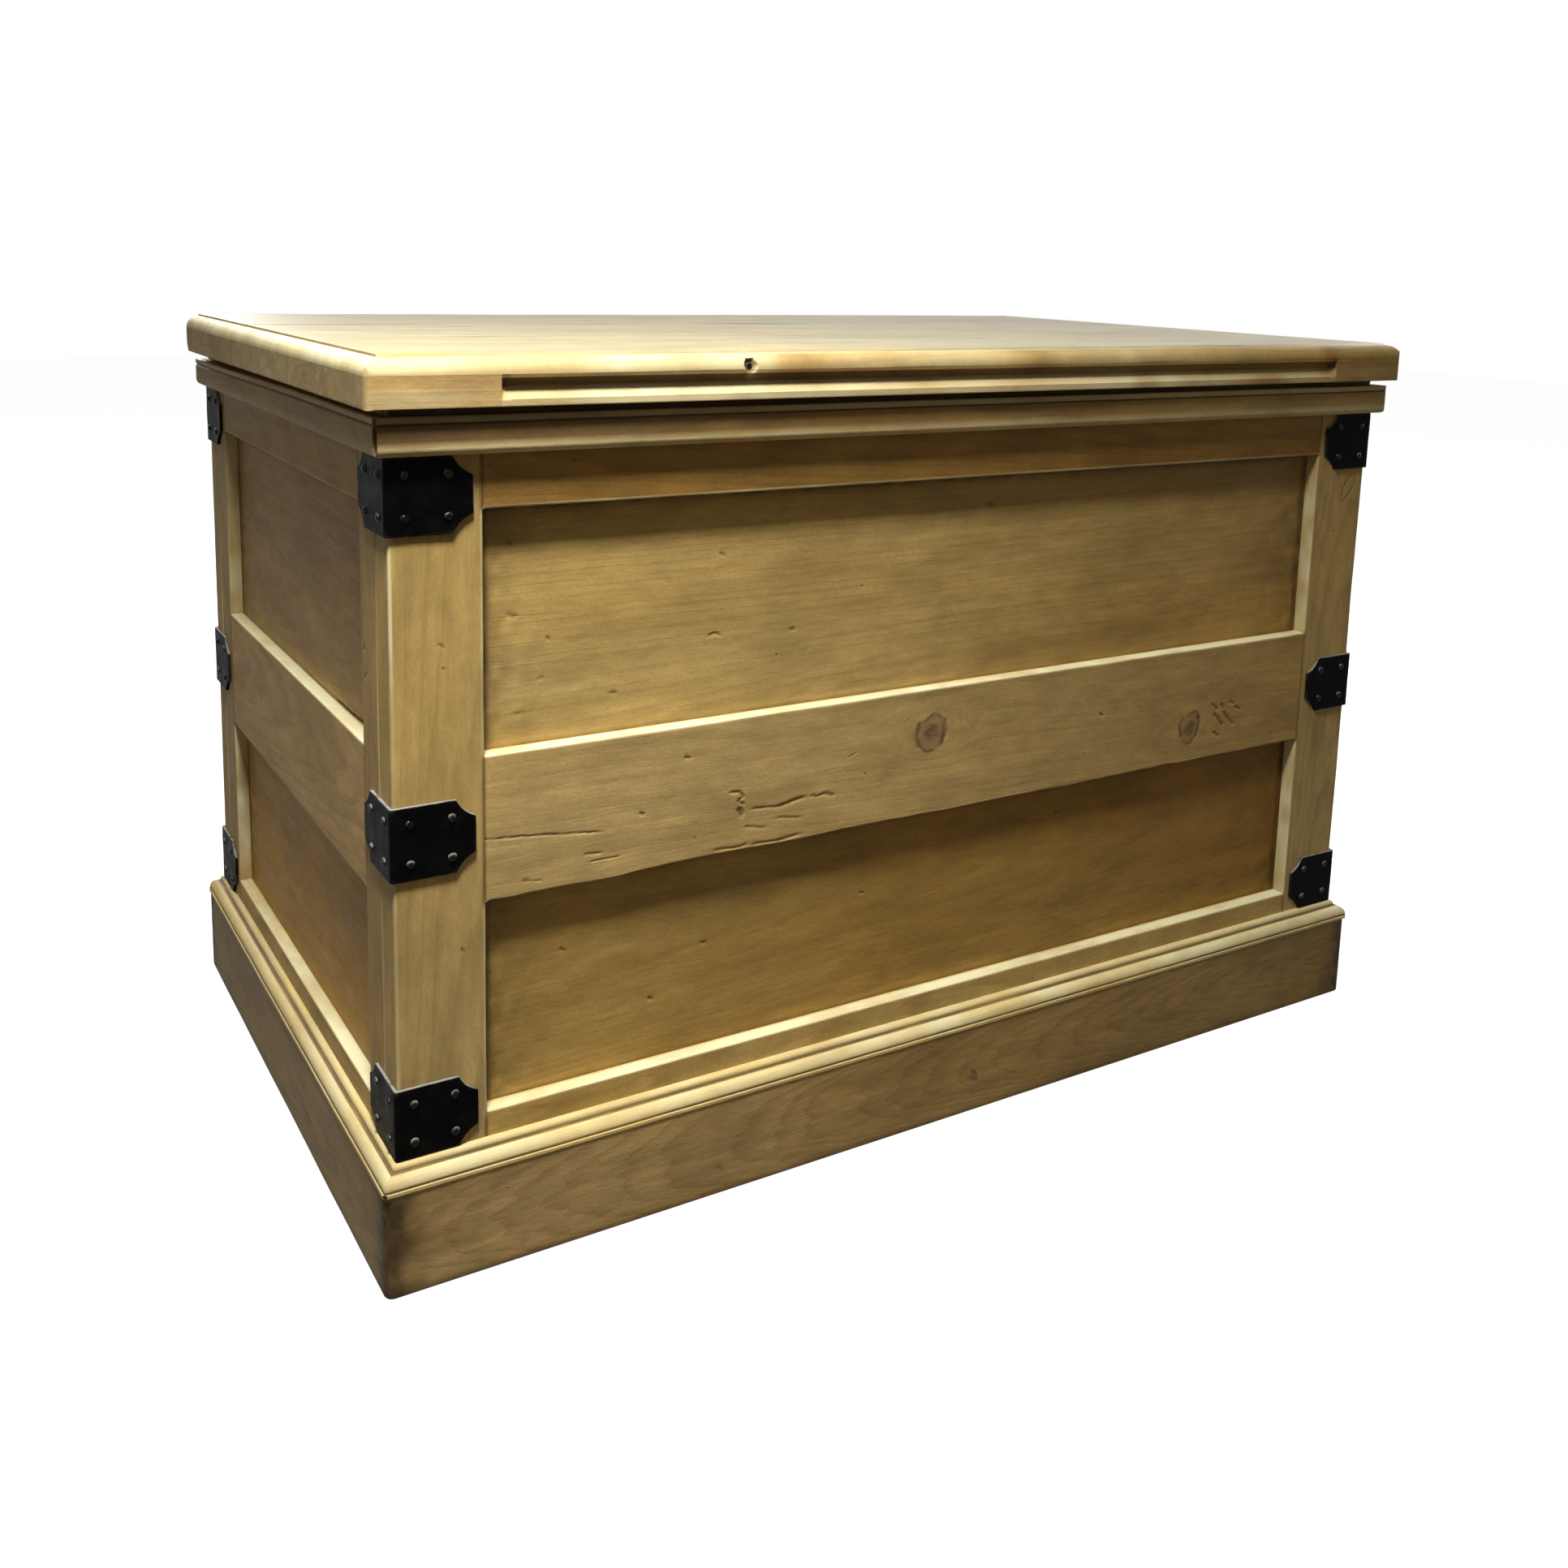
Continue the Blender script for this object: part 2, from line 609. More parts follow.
def small_dents(tree, grain):
    """A few small old dents, thinly spread."""
    flat = tree.scaled(grain, (13.0, 13.0, 0.0))
    spot = tree.add("TexVoronoi", {"Vector": flat, "Scale": 1.0}, voronoi_dimensions="2D").outputs
    chosen = tree.math("GREATER_THAN", tree.add("SeparateColor", {0: spot["Color"]}).outputs[0], 0.90)
    return tree.times(tree.steps(spot["Distance"], 0.008, 0.020, 0.6, 0.0), chosen)


def pine(name, axis=None, heart=None):
    """Waxed old pine. Boards carry their own grain; a CAD node is bare, with its grain along x or y."""
    tree = Shader(bpy.data.materials.new(name))
    if axis is None:
        grain = tree.read("grain", "Vector")
        figure = tree.read("figure")
    else:
        at = tree.add("TexCoord").outputs["Object"]
        turn = (0, 0, -axis * math.pi / 2)
        inputs = {"Vector": at, "Rotation": turn, "Location": (2.0, *heart)}
        grain = tree.add("Mapping", inputs).outputs[0]
        figure = 0.3

    def cloud(stretch, shift, detail, rough):
        return tree.noise(tree.vector("ADD", tree.scaled(grain, stretch), shift), detail, rough)
    late = year_rings(tree, grain)
    fibre = cloud((9.0, 850.0, 850.0), (0, 0, 0), 3.0, 0.65)
    streak = cloud((2.5, 130.0, 130.0), (0, 0, 0), 3.0, 0.6)
    speck = cloud((330.0, 620.0, 620.0), (0, 0, 0), 2.0, 0.7)
    broad = cloud((1.7, 5.0, 5.0), (3.0, 1.0, 8.0), 2.0, 0.5)
    mottle = cloud((9.0, 26.0, 26.0), (1.0, 5.0, 2.0), 4.0, 0.65)
    blotch = cloud((4.0, 13.0, 13.0), (6.0, 2.0, 4.0), 3.0, 0.6)
    patch = cloud((14.0, 24.0, 24.0), (7.0, 3.0, 1.0), 3.0, 0.6)
    ripple = cloud((38.0, 85.0, 85.0), (4.0, 9.0, 5.0), 3.0, 0.6)

    colour = tree.mix(tree.times(late, figure), EARLY_WOOD, LATE_WOOD)
    colour = tree.mix(tree.steps(broad, 0.35, 0.68, 0.0, 0.75), colour, tree.tinted(colour, AMBER))
    colour = tree.mix(tree.steps(blotch, 0.50, 0.80, 0.0, 0.36), colour, BLOTCH)
    grey = tree.steps(fibre, 0.25, 0.80, 0.93, 1.06)
    layers = ((streak, 0.94, 1.05), (speck, 0.92, 1.07), (mottle, 0.80, 1.17), (ripple, 0.92, 1.08))
    for layer, dark, pale in layers:
        grey = tree.times(grey, tree.steps(layer, 0.25, 0.75, dark, pale))
    colour = tree.tinted(colour, tree.add("CombineXYZ", {0: grey, 1: grey, 2: grey}).outputs[0])
    pit = small_dents(tree, grain)
    rough = tree.steps(streak, 0.2, 0.8, 0.44, 0.60)
    shine = WAX_SHINE

    if axis is None:
        wear, grime, mark = tree.add("SeparateXYZ", {0: tree.read("state", "Vector")}).outputs
        bare = tree.read("raw")
        knot = tree.read("knot")
        polish = tree.read("polish")
        colour = tree.tinted(colour, tree.vector("ADD", tree.read("tint", "Vector"), (1.0, 1.0, 1.0)))
        colour = tree.tinted(colour, tree.mix(bare, rgb(1, 1, 1), BARE))
        heartwood = tree.mix(tree.steps(knot, 0.10, 0.28), KNOT_RIM, KNOT_RING)
        heartwood = tree.mix(tree.steps(knot, 0.40, 0.64), heartwood, KNOT_HEART)
        rim = tree.times(tree.steps(knot, 0.0, 0.14), tree.steps(ripple, 0.38, 0.56, 0.45, 1.0))
        colour = tree.mix(tree.times(rim, 0.85), colour, heartwood)
        dirt = tree.times(grime, tree.steps(patch, 0.25, 0.60, 0.75, 1.0))
        colour = tree.mix(tree.times(dirt, 0.95), colour, DIRT)
        rubbed = tree.times(wear, tree.steps(patch, 0.30, 0.62, 0.45, 1.0))
        colour = tree.mix(tree.times(rubbed, 0.85), colour, RUBBED)
        pit = tree.math("MAXIMUM", pit, mark)
        rough = tree.gain(polish, -0.16, tree.gain(bare, 0.18, rough))
        shine = tree.gain(polish, 0.42, WAX_SHINE)
    else:
        colour = tree.tinted(colour, BARE)
    colour = tree.mix(tree.times(pit, 0.80), colour, PIT)

    height = tree.gain(late, -0.15, tree.gain(fibre, 0.45, tree.times(speck, 0.35)))
    height = tree.math("SUBTRACT", tree.gain(ripple, 1.2, height), tree.times(pit, 1.2))
    bump = tree.bump(0.35, 0.0007, height)
    return tree.finish(Base_Color=colour, Roughness=rough, Normal=bump, Specular_IOR_Level=shine)


def iron(name, rough, shine, chafed=1.0):
    """Black japanned iron, rubbed through in places."""
    tree = Shader(bpy.data.materials.new(name))
    cloud = tree.noise(tree.inside((55.0, 55.0, 55.0)), 4.0, 0.6)
    grit = tree.noise(tree.inside((900.0, 900.0, 900.0)), 3.0, 0.6)
    shape = tree.add("NewGeometry").outputs
    upward = tree.add("SeparateXYZ", {0: shape["True Normal"]}).outputs[2]
    rub = tree.times(tree.steps(shape["Pointiness"], 0.52, 0.58), tree.steps(cloud, 0.36, 0.58))
    rub = tree.times(rub, tree.steps(upward, -0.1, 0.5, 0.25 * chafed, chafed))
    rim = tree.times(tree.read("rim"), tree.steps(upward, 0.2, 0.7))
    rub = tree.math("MAXIMUM", rub, tree.times(rim, tree.steps(cloud, 0.30, 0.50, 0.35, 1.0)))
    colour = tree.mix(tree.steps(cloud, 0.35, 0.75), JAPAN, DULL_JAPAN)
    colour = tree.mix(rub, colour, BARE_IRON)
    rough = tree.steps(cloud, 0.25, 0.75, rough - 0.06, rough + 0.10)
    bump = tree.bump(0.30, 0.0006, tree.gain(cloud, 0.6, tree.times(grit, 0.4)))
    return tree.finish(Base_Color=colour, Roughness=rough, Normal=bump, Specular_IOR_Level=shine)


def steel(name):
    """Old bright steel, dulled and spotted."""
    tree = Shader(bpy.data.materials.new(name))
    cloud = tree.noise(tree.inside((260.0, 260.0, 260.0)), 4.0, 0.65)
    brush = tree.noise(tree.inside((300.0, 2600.0, 2600.0)))
    colour = tree.mix(tree.steps(cloud, 0.45, 0.70), BRIGHT_STEEL, SPOTTED_STEEL)
    rough = tree.steps(cloud, 0.3, 0.7, 0.28, 0.55)
    return tree.finish(Base_Color=colour, Roughness=rough, Normal=tree.bump(0.2, 0.0003, brush), Metallic=0.9)


PINE = pine("waxed_pine")
IRON = iron("black_iron", 0.38, 0.035)
NAIL = iron("black_nail", 0.22, 0.16)
HINGE_IRON = iron("hinge_iron", 0.38, 0.05, 0.12)
STEEL = steel("dull_steel")


# Hinge pockets

def pocket_depth(along, out):
    """How far the wood is cut away: along from a hinge's middle, out from its axis to the back."""
    bevel = np.maximum(out, 0) * math.tan(BEVEL)
    leaf = np.where((along < HINGE_LEAF) & (out <= 0) & (out > -LEAF_W), LEAF_T, 0)
    knuckle = np.where(along < HINGE_ROOM, np.sqrt(np.maximum(KNUCKLE_R ** 2 - out ** 2, 0)), 0)
    return np.maximum(np.maximum(bevel, leaf), knuckle)


def pocket_lines(middles, axis, outward):
    """Grid lines along and across the hinge axis that give the pockets crisp edges."""
    close = 0.02
    ends = itertools.product(middles, (-1, 1), (HINGE_LEAF, HINGE_ROOM), (-close, close))
    along = [middle + side * reach + gap for middle, side, reach, gap in ends]
    steps = [-LEAF_W - close, -LEAF_W + close, 0.0, close, -close]
    steps += [side * KNUCKLE_R * share for side in (-1, 1) for share in (0.35, 0.65, 0.87, 0.97, 1.0)]
    return along, [axis + outward * step for step in steps]


# Frames and panels

def opening(wall):
    """Length of a wall, where its openings start along it, and how far its panels stand back."""
    if wall in LONG_WALLS:
        return BODY_W, STILE_W, FRONT_RECESS
    return BODY_D, FRAME_T + SIDE_STILE_W, SIDE_RECESS


def stile(wall, end):
    """Upright of a wall's frame, with its outer arris worn round."""
    name = STILES[wall][end]
    long_wall = wall in LONG_WALLS
    start, width = (0.0, STILE_W) if long_wall else (FRAME_T, SIDE_STILE_W)
    left = start if end == 0 else WALLS[wall][3] - start - width
    low, high = np.array([left, 0, FOOT]), np.array([left + width, FRAME_T, RIM])
    board = Board(name, wall, *lattice(
        lines(low[0], high[0], 1.5, CELL[wall], close_lines(name, 0, 1.0, 34)),
        lines(0, FRAME_T, 1.5, 8, [HINGE_INSET] if wall == "back" else ()),
        lines(FOOT, RIM, 1.0, CELL[wall] * 1.5, close_lines(name, 1, 1.0, 34)),
    ))
    x, y, z = board.points.T
    near = np.minimum(board.points - low, high - board.points)
    outer = x < low[0] + 12 if end == 0 else x > high[0] - 12
    open_below = (z > LOWER_0) & (z < LOWER_1)
    open_above = (z > UPPER_0) & (z < UPPER_1)
    beside_panel = open_below | open_above

    radius = np.where(outer & long_wall, 2.4, 1.0) * (1 + 0.4 * board.cloud(45))
    radius = np.where((z > RIM - 5) | (z < FOOT + 5), 0.6, radius)
    arris = (near[:, :2] < ARRIS).all(1)
    broken = np.clip(0.65 + 0.7 * board.cloud(65), 0.1, 1)
    board.soil(WEAR, arris & outer, broken * (0.85 if long_wall else 0.4))
    board.soil(WEAR, arris & ~outer & beside_panel, 0.3)
    chafed = np.clip(0.70 + 0.6 * board.cloud(16), 0, 1)
    reveal = (near[:, 0] < 0.01) & ~outer & beside_panel & (y < 14)
    board.soil(WEAR, reveal, 0.95 * chafed)
    board.soil(GRIME, arris & ~outer & ~beside_panel, 0.55)
    board.soil_behind_collar()

    shaped, normal = round_off(board.points, low, high, radius)
    shaped += normal * (0.18 * board.cloud(70) * (near[:, 2] > 6))[:, None]
    shaped[:, 1] += board.scar(y < 2)
    if wall == "back":
        bevel = np.maximum(HINGE_INSET - shaped[:, 1], 0) * math.tan(BEVEL)
        shaped[:, 2] = np.minimum(shaped[:, 2], RIM - bevel)
    raw = np.clip((y - 20) / 6, 0, 1)
    board.make(shaped, board.grain(2, 0, 1), "pine_frame", raw=raw, tint=board.face_tone())


def rail(wall, level, z0, z1):
    """Rail of a wall's frame, with pale rubbed edges where a panel stands back from it."""
    name = f"{wall}_{level}_rail"
    length, start, recess = opening(wall)
    low, high = np.array([start, 0, z0]), np.array([length - start, FRAME_T, z1])
    scarred = name == "front_middle_rail"
    cell = 3.0 if scarred else CELL[wall]
    hinged = name == "back_top_rail"
    middles = [length / 2 - HINGE_X, length / 2 + HINGE_X]
    along, across = pocket_lines(middles, HINGE_INSET, -1) if hinged else ([], [])
    board = Board(name, wall, *lattice(
        lines(low[0], high[0], 0.5, cell * (1 if scarred else 1.5), along + close_lines(name, 0, 1.2, 16)),
        lines(0, FRAME_T, 1.5, 8, [recess] + [step for step in across if 0 < step < FRAME_T]),
        lines(z0, z1, 1.5, cell, close_lines(name, 1, 1.1, 16)),
    ))
    x, y, z = board.points.T
    near = np.minimum(board.points - low, high - board.points)
    ends = near[:, 0] < 0.6
    top, under = z > z1 - ARRIS, z < z0 + ARRIS
    radius = np.where(ends, 0.25, 1.4 * (1 + 0.45 * board.cloud(35)))
    if level == "top":
        radius = np.where(top, 0.6, radius)

    arris = (near[:, 1:] < ARRIS).all(1) & (y < 14)
    board.soil(WEAR, arris & under, {"top": 0.45, "middle": 0.3, "bottom": 0.0}[level])
    if level != "top":
        keen = 0.9 if wall in SEEN_WALLS else 0.5
        board.soil(WEAR, arris & top, keen * np.where(near[:, 2] < 0.6, 1.0, 0.35))
        paler = 0.6 * x / length if wall in SEEN_WALLS else 0.0
        board.soil(WEAR, top & (y > 1.0) & (y < recess - 1.0), keen + 0.05 + paler)
    board.soil(GRIME, ends, 0.45)
    board.soil_behind_collar()

    shaped, normal = round_off(board.points, low, high, radius)
    shaped += normal * (0.18 * board.cloud(70) * (near[:, 2] > 3) * (near[:, 0] > 3))[:, None]
    shaped[:, 1] += board.scar(y < 2)
    if scarred:
        run = board.points * [1, 0, 0]
        frayed = 1.1 * bell(z - z0, 7.0) * (near[:, 0] > 3) * (y < 5)
        shaped[:, 2] += frayed * (0.5 + noise(run, 55, 4.0) + 0.4 * noise(run, 16, 6.0))
    if hinged:
        beside = np.min([np.abs(x - middle) for middle in middles], axis=0)
        shaped[:, 2] = np.minimum(shaped[:, 2], RIM - pocket_depth(beside, HINGE_INSET - y))
    tint = board.face_tone()
    if name == "front_top_rail":
        # the lower half lies in shade in the photograph
        tint -= (0.26 * np.clip((575 - z) / 24, 0, 1) * (y < 10))[:, None]
    raw = np.clip((y - 20) / 6, 0, 1)
    board.make(shaped, board.grain(0, 2, 1), "pine_frame", raw=raw, tint=tint, knot=board.knot(y < 14))


def panel(wall, level, z0, z1):
    """Flat panel in the grooves of its frame, grimy along its edges."""
    name = f"{wall}_{level}_panel"
    length, start, recess = opening(wall)
    low = np.array([start - PANEL_HOLD, recess, z0 - GROOVE])
    high = np.array([length - start + PANEL_HOLD, recess + PANEL_T, z1 + PANEL_HOLD])
    edge = np.array([0, 2, 5, 9, 14, 20])
    beside = [*(start + edge), *(length - start - edge)]
    above = [*(z0 + edge), *(z1 - edge)]
    board = Board(name, wall, *lattice(
        lines(low[0], high[0], 0.3, CELL[wall], beside + close_lines(name, 0, 1.0, 16)),
        lines(low[1], high[1], 0.3, 9),
        lines(low[2], high[2], 0.3, CELL[wall], above + close_lines(name, 1, 1.0, 16)),
    ))
    x, y, z = board.points.T
    front = y < recess + 1
    sides = np.minimum(x - start, length - start - x)
    inset = np.min([sides, z - z0, z1 - z], axis=0)

    # a draw that isn't used, so that those after it stay as they are
    board.rng.uniform(0, 9)
    dirty = 0.8 + 0.3 * board.cloud(12)
    line = np.max([
        bell(np.maximum(sides - 5, 0), 3.5),
        bell(np.maximum(z1 - z - 2, 0), 3.0),
        0.6 * bell(np.maximum(z - z0, 0), 2.0),
        0.65 * bell(np.hypot(sides, z1 - z), 34.0),
    ], axis=0)
    patchy = np.clip(0.6 + board.cloud(8), 0, 1)
    soft = 0.55 * np.exp(-np.maximum(sides - 5, 0) / 22.0) * patchy
    board.soil(GRIME, True, np.clip(np.maximum(line * dirty, soft), 0, 1))

    shaped, _ = round_off(board.points, low, high, np.full(len(x), 0.3))
    wave = 0.35 * noise(board.points * [0.5, 1, 1], 60, board.rng.uniform(0, 9)) * (inset > 4)
    shaped[:, 1] += wave + board.scar(front)
    tint = board.tone() * front[:, None]
    board.make(shaped, board.grain(0, 2, 1), "pine_panel", raw=~front, tint=tint)


# Mouldings, plinth and bottom

def sweep(name, wall, profile, mitres, z0, tint, joint):
    """Moulding along a wall, its ends mitred or square, with grime in the joints.

    The profile's rows are out, up, wear, grime, shade and lift."""
    length = WALLS[wall][3]
    out, up, wear, grime, shade, lift = np.array(profile, float).T
    close = 0.8 / length
    share = np.unique(np.concatenate([np.linspace(0, 1, round(length / 7) + 1), [close, 1 - close]]))
    over = np.minimum(out, 2 * (out.max() - 1.2) - out)
    x0, x1 = -over * mitres[0], length + over * mitres[1]
    along = x0 + share[:, None] * (x1 - x0)
    rows, columns = along.shape
    points = np.column_stack([along.ravel(), np.tile(-out, rows), np.tile(up + z0, rows)])
    index = np.arange(along.size).reshape(along.shape)
    beside = np.roll(index, -1, axis=1)
    quads = np.stack([index[:-1], index[1:], beside[1:], beside[:-1]], -1).reshape(-1, 4)
    board = Board(name, wall, points, [*quads, index[0], index[-1][::-1]])

    x = points[:, 0]
    free = np.tile(out > 0.5, rows) & np.repeat((share > 0.001) & (share < 0.999), columns)
    shaped = points.copy()
    shaped[:, 1] -= 0.16 * board.cloud(40) * free
    shaped[:, 2] += 0.12 * board.cloud(30) * free
    from_back = {"left": x, "right": length - x}.get(wall, 1e3)
    shaped[:, 2] += np.tile(lift, rows) * np.clip((from_back - 120) / 250, 0, 1)

    fade = 0.8 + 0.35 * board.cloud(60)
    paler = 0.5 * x / length if wall == "front" else 0.0
    board.soil(WEAR, True, np.clip(np.tile(wear, rows) * (fade + paler), 0, 1.2))
    board.soil(GRIME, True, np.tile(grime, rows))
    board.soil(GRIME, np.repeat((share < 0.0005) | (share > 0.9995), columns), joint)
    darker = np.tile(shade, rows) * np.clip(1 - x / 800, 0, 1)
    tint = np.array(tint) + darker[:, None] * np.array(TINT["collar_shade"])
    board.make(shaped, board.grain(0, 2, 1), "pine_moulding", sharp=35, tint=tint)


def collar(wall):
    """Moulding under the lid: a fillet over a quirk, a flat and a rounded lower edge."""
    height, out, quirk, round_r = COLLAR_1 - COLLAR_0, COLLAR_OUT, 1.2, 5.0
    fillet = height - 5.0
    outline = [(0, 0), (3, 0), (out - round_r, 0)] + arc(out - round_r, round_r, round_r, -75, 0, 6)
    outline += [(out, 10), (out, 14), (out, fillet - 1.4), (out - 0.25, fillet - 1.1), (out - quirk, fillet)]
    outline += [(out - 0.25, fillet + 1.1), (out, fillet + 1.4), (out, fillet + 3), (out, height - quirk)]
    outline += arc(out - quirk, height - quirk, quirk, 20, 90, 4) + [(out - 5, height), (0, height)]
    profile = []
    for x, z in outline:
        on_round = x > out - 4 and 0 < z < 6
        on_fillet = x > out - 3 and z > fillet + 1
        wear = 0.5 if on_round else 0.45 if on_fillet else 0.0
        grime = 1.0 if (x, z) == (out - quirk, fillet) else 0.0
        shade = np.clip((z - 5) / 4, 0, 1) if wall == "front" else 0.0
        profile.append((x, z, wear, grime, shade, COLLAR_LIFT if z > 12 else 0.0))
    mitres = (wall != "left", wall != "right")
    sweep(f"collar_{wall}", wall, profile, mitres, COLLAR_0, TINT["collar"], 0.12)


def plinth_cap(wall):
    """Cap strip of the plinth: a fillet, a round between two quirks and a bead against the carcass."""
    out, fillet, quirk, round_r, bead = PLINTH_T + 0.8, 3.0, 1.2, 8.0, 3.5
    round_x, round_z = out - quirk - round_r, fillet + quirk
    round_top = round_z + round_r
    bead_x = round_x - quirk / 2 - bead
    top = fillet + 2 * quirk + round_r + bead
    outline = [(0, 0), (out - 3, 0), (out - 0.5, 0), (out, 0.5), (out, 2.5), (out - 0.5, fillet)]
    outline += [(round_x + round_r + 0.1, fillet), (round_x + round_r, round_z)]
    outline += arc(round_x, round_z, round_r, 9, 81, 9)
    outline += [(round_x, round_top), (round_x - 0.2, round_top), (bead_x + bead, round_top + 0.1)]
    outline += arc(bead_x, top - bead, bead, 15, 90, 6) + [(0, top)]
    profile = []
    for x, z in outline:
        on_round = round_z + 0.5 < z < round_top - 0.3 and x > round_x
        on_bead = z > top - bead + 0.3
        wear = 0.75 if on_round else 0.55 if on_bead else 0.35 if x > out - 0.6 else 0.0
        low_quirk = abs(x - round_x - round_r) < 0.2 and z < round_z + 0.3
        high_quirk = abs(z - round_top) < 0.15
        profile.append((x, z, wear, 0.85 if low_quirk or high_quirk else 0.0, 0.0, 0.0))
    sweep(f"plinth_cap_{wall}", wall, profile, (True, True), PLINTH_H, TINT["cap"], 0.45)


def plinth(wall):
    """Plinth board with rounded, scuffed corners and an eased lower edge."""
    name = f"plinth_{wall}"
    length = WALLS[wall][3]
    flat = PLINTH_T - PLINTH_R
    corner = [(-x, out) for x, out in arc(flat, flat, PLINTH_R, 45, 90, 5)]
    count = round((length + 2 * flat) / CELL[wall])
    straight = [(x, PLINTH_T) for x in np.linspace(-flat, length + flat, count + 1)[1:-1]]
    plan = np.array(corner + straight + [(length - x, out) for x, out in corner[::-1]])
    ease = 2.2
    levels = [(0.0, ease)] + [(ease * (1 - math.cos(a)), ease * (1 - math.sin(a))) for a in (0.5, 1.0)]
    levels += [(z, 0.0) for z in np.linspace(ease, PLINTH_H, 19 if wall in SEEN_WALLS else 10)]
    up, back = np.array(levels).T
    along = np.repeat(plan[:, :1], len(up), 1)
    outer = np.stack([along, back - plan[:, 1:], np.broadcast_to(up, along.shape)], -1)
    inner = outer.copy()
    inner[..., 0] = np.clip(along, 0, length)
    inner[..., 1] = 0.0
    points, quads = slab(outer, inner)
    board = Board(name, wall, points, quads[:, ::-1])

    x, _, z = points.T
    face = np.arange(len(points)) < along.size
    to_corner = np.minimum(x + PLINTH_T, length + PLINTH_T - x)
    board.soil(WEAR, face & (z > PLINTH_H - 3), 0.25)
    scuffed = np.exp(-np.maximum(to_corner - 7, 0) / 12.0) * (1.2 + 0.6 * board.cloud(9))
    smudge = np.exp(-np.maximum(to_corner, 0) / 60.0) * np.clip(1.6 * board.cloud(22), 0, 1)
    board.soil(GRIME, face, np.clip(np.maximum(scuffed, 0.8 * smudge), 0, 1))
    low_dirt = np.exp(-z / 5.0) * (0.5 + 0.4 * board.cloud(25))
    board.soil(GRIME, face, np.clip(low_dirt, 0, 0.6))

    free = face & (z > 0.5) & (to_corner > 3)
    shaped = points.copy()
    shaped[:, 1] += board.scar(face) - 0.2 * board.cloud(60) * free
    # the plinth's rings are closer together than those of the frame
    grain = board.grain(0, 2, 1) * [1, 1.8, 1.8]
    board.make(shaped, grain, "pine_frame", raw=~face, tint=board.tone("plinth"), knot=board.knot(face))


def bottom_boards():
    """Bare boards of the trunk's floor."""
    low, high = (np.array(v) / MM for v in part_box("bottom_boards"))
    count, gap = 6, 0.5
    step = (high[0] - low[0] + gap) / count
    parts, grains, edges = [], [], []
    for i in range(count):
        near = np.array([low[0] + i * step, low[1], low[2]])
        far = np.array([near[0] + step - gap, high[1], high[2]])
        points, quads = lattice(*(lines(near[k], far[k], 1.0, cell) for k, cell in enumerate((12, 20, 12))))
        inset = np.minimum(points - near, far - points)
        edges.append((inset < 1.1).sum(1) >= 2)
        grains.append(Board(f"bottom_{i}", None, points, quads).grain(1, 0, 2))
        shaped, _ = round_off(points, near, far, np.full(len(points), 0.9))
        parts.append((shaped, quads))
    points, faces = joined(parts)
    board = Board("bottom_boards", None, points, faces)
    board.soil(GRIME, np.concatenate(edges), 0.6)
    board.make(points, np.concatenate(grains), "raw_pine", raw=1.0)


# Lid

def lid_lines(y0, y1, front, hinged):
    """Grid lines of a lid board, close together over its round, groove, chip and hinge pockets."""
    edge = LID_R * (1 - np.cos(np.radians(np.arange(0, 91, 9))))
    edge = np.concatenate([edge, LID_R + np.array([0.25, 3, 8])])
    xs = lines(-LID_HALF, LID_HALF, 0.4, 6.0, np.concatenate([-LID_HALF + edge, LID_HALF - edge]))
    ys = lines(y0, y1, 0.4, 3.0, y0 + edge if front else ())
    zs = lines(LID_Z, SHOULDER, 0.8, 2.6)
    if hinged:
        along, across = pocket_lines([-HINGE_X, HINGE_X], BACK_Y - HINGE_INSET, 1)
        xs = merged(xs, along)
        ys = merged(ys, [step for step in across if step < BACK_Y])
    if front:
        end = PULL_HALF + np.array([1.5, 0.0, -0.3, -0.8, -1.6, -2.8, -4.5, -7.0])
        chip = STRAY_X + np.arange(-6, 6.1, 0.75)
        xs = merged(xs, end, -end, chip)
        ys = merged(ys, y0 + LID_R * (1 - np.cos(np.radians(np.arange(0, 40, 4)))), digits=4)
        zs = merged(zs, PULL_Z + PULL_R * np.sin(np.radians(np.arange(-90, 91, 15))))
    return xs, ys, zs


def cut_groove(board, shaped, face, uneven):
    """Finger groove in the lid's front edge: a slope up to a hollow under its lip, rubbed and soiled."""
    x, _, z = board.points.T
    inside = (np.abs(x) < PULL_HALF - 0.1) & face
    away = np.clip((z - PULL_Z) / PULL_R, -1, 1)
    hollow = np.sqrt(1 - (np.maximum(away - 0.25, 0) / 0.75) ** 2)
    depth = np.where(away > 0.25, hollow, (away + 1) / 1.25)
    room = np.clip((PULL_HALF - np.abs(x)) / PULL_R, 0, 1)
    depth = PULL_R * depth * np.sqrt(1 - (1 - room) ** 2) * (np.abs(away) < 0.999)
    shaped[:, 1] += np.where(inside, depth, 0)
    board.soil(WEAR, face & (away < 0.1), np.where(inside, 0.75, 0.25) * uneven)
    board.soil(GRIME, inside & (away > 0.2), 0.40 - 0.28 * np.clip(x / PULL_HALF, -1, 1))
    board.soil(GRIME, inside & (room < 0.8) & (away > 0.0), 0.95)


def chip_nail_hole(board, shaped, seen):
    """Hole round the stray nail, with a pale chip below it."""
    x, _, z = shaped.T
    far = np.hypot(x - STRAY_X, z - STRAY_Z)
    ragged = far * (1 + 0.2 * noise(shaped, 3.0, 5))
    hole = np.clip((5.4 - ragged) / 2.2, 0, 1) * (board.points[:, 1] < LID_Y + 6)
    chip = np.hypot((x - STRAY_X - 3) / 3.0, (z - STRAY_Z + 6.5) / 3.5)
    shaped[:, 1] += 3.6 * hole
    board.soil(MARK, True, hole)
    board.soil(WEAR, seen, np.exp(-chip ** 2) * (1 - hole))


